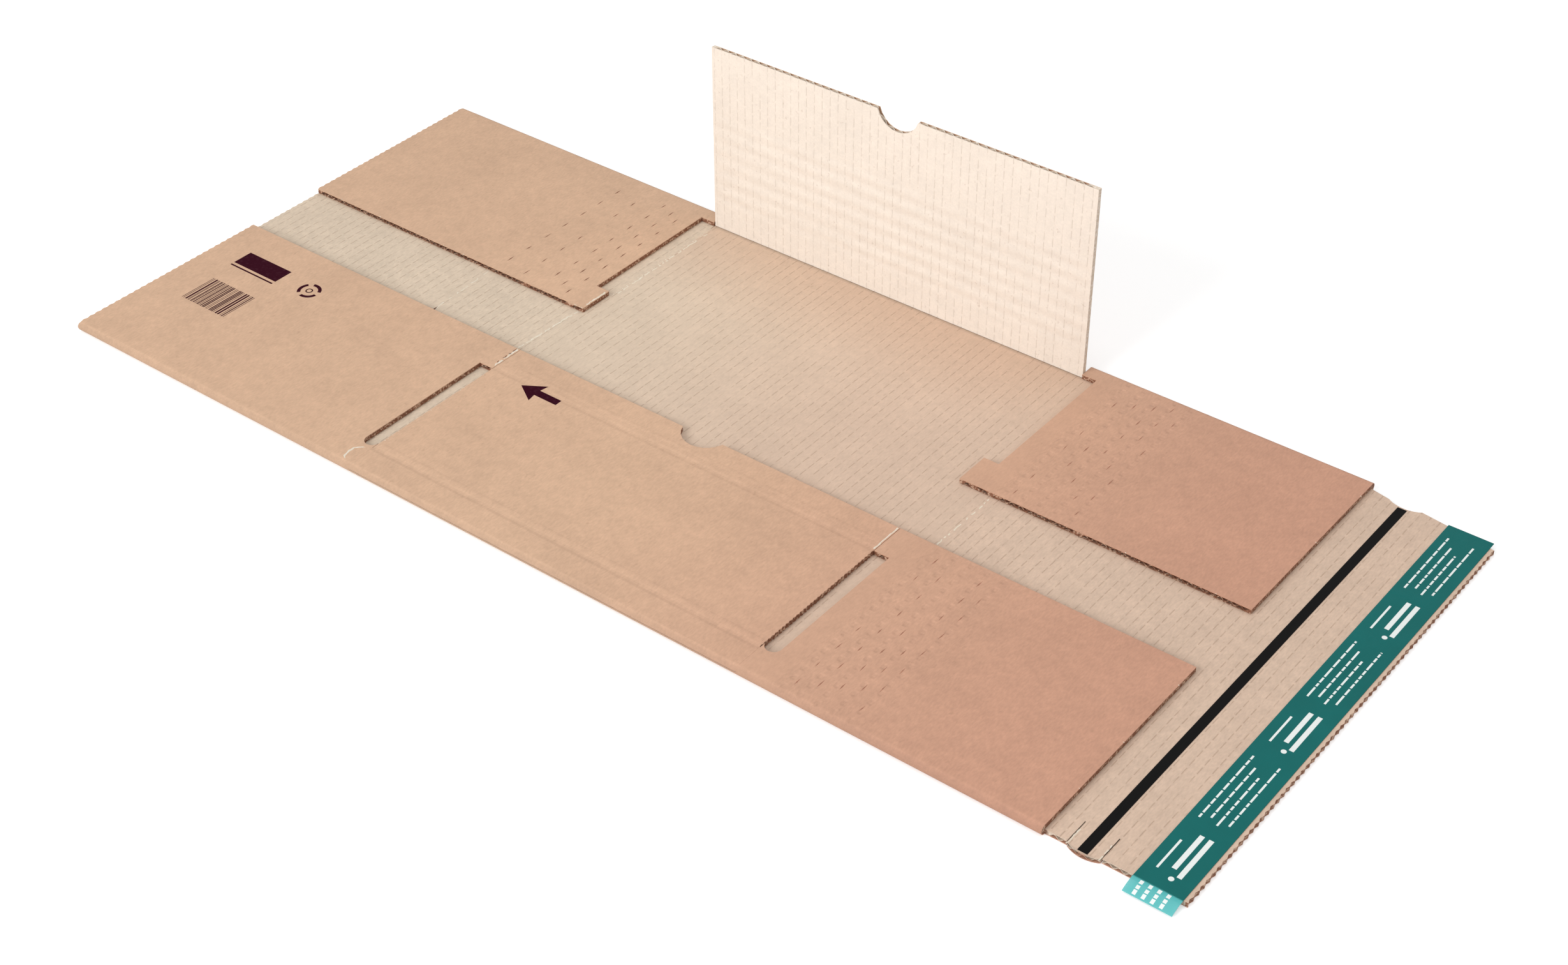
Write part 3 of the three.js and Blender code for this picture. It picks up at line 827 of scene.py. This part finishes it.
ground_mat = bpy.data.materials.new("pale_ground")
ground_mat.use_nodes = True
tree = ground_mat.node_tree
surface = tree.nodes["Principled BSDF"]
surface.inputs["Base Color"].default_value = GROUND_GREY
surface.inputs["Roughness"].default_value = 0.9
surface.inputs["Emission Color"].default_value = WHITE
glow = tree.nodes.new("ShaderNodeMath")
glow.operation = "MULTIPLY"
glow.inputs[1].default_value = GROUND_GLOW
tree.links.new(seen_share(tree), glow.inputs[0])
tree.links.new(glow.outputs[0], surface.inputs["Emission Strength"])

ground_mesh = bpy.data.meshes.new("ground")
corners = [(x, y, 0) for x, y in bar(-GROUND_HALF, -GROUND_HALF, GROUND_HALF, GROUND_HALF)]
ground_mesh.from_pydata(corners, [], [(0, 1, 2, 3)])
ground_mesh.materials.append(ground_mat)
ground = bpy.data.objects.new("ground", ground_mesh)
ground.location.z = -0.0002
bpy.context.scene.collection.objects.link(ground)

world = bpy.data.worlds.new("studio")
bpy.context.scene.world = world
world.use_nodes = True
tree = world.node_tree
backdrop = tree.nodes["Background"]
strength = tree.nodes.new("ShaderNodeMix")
strength.data_type = "FLOAT"
strength.inputs[2].default_value = WORLD_LIGHT
strength.inputs[3].default_value = WORLD_SEEN
tree.links.new(seen_share(tree), strength.inputs[0])
tree.links.new(strength.outputs[0], backdrop.inputs["Strength"])
backdrop.inputs["Color"].default_value = WHITE

light("key", (-0.7, -2.6, 1.5), 1.6, 66)
light("top", (0.1, 0.4, 2.6), 2.2, 26)
light("fill", (1.9, -0.9, 1.3), 1.2, 8)

# The lens and the place were fitted to the photograph.
camera_data = bpy.data.cameras.new("photo_camera")
camera_data.sensor_fit = "HORIZONTAL"
camera_data.sensor_width = 36.0
camera_data.lens = 56.96
camera = bpy.data.objects.new("photo_camera", camera_data)
bpy.context.scene.collection.objects.link(camera)
camera.matrix_world = Matrix((
    (0.79029, -0.37251, 0.48650, 0.71531),
    (0.61273, 0.48202, -0.62627, -0.88611),
    (-0.00121, 0.79303, 0.60918, 0.83978),
    (0.0, 0.0, 0.0, 1.0),
))
bpy.context.scene.camera = camera
bpy.context.scene.view_settings.view_transform = "Standard"
